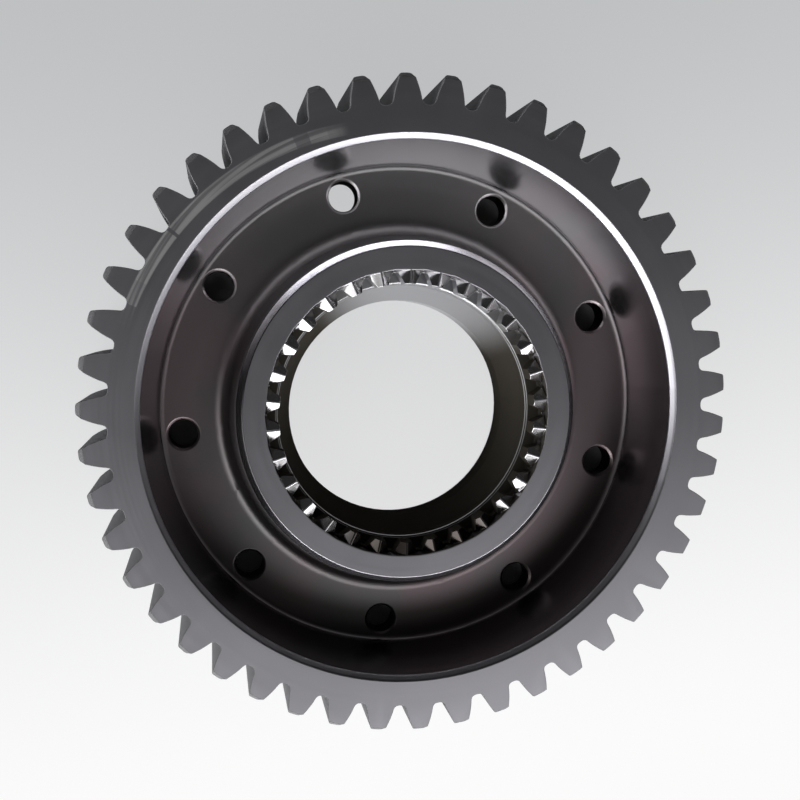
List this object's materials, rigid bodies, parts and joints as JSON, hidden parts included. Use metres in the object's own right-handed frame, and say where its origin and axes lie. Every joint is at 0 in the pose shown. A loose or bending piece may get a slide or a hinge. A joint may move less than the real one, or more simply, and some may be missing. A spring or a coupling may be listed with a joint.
{
  "type": "transmission gear",
  "caption": "Spur reduction gear with a dished front, a pierced web and internal clutch teeth with pointed ends in the hub.",
  "frame": {"origin": "on the gear's axis, in the plane of its rear faces, on which it rests", "axes": "+Z along the gear's axis towards the dished front; +X through the middle of an outer tooth and of a clutch tooth"},
  "size_m": [0.24, 0.2396, 0.044],
  "materials": {
    "gear_steel": "turned and hobbed, lightly oiled, dark"
  },
  "bodies": {
    "root": {"gear": "gear_steel"}
  },
  "joints": []
}
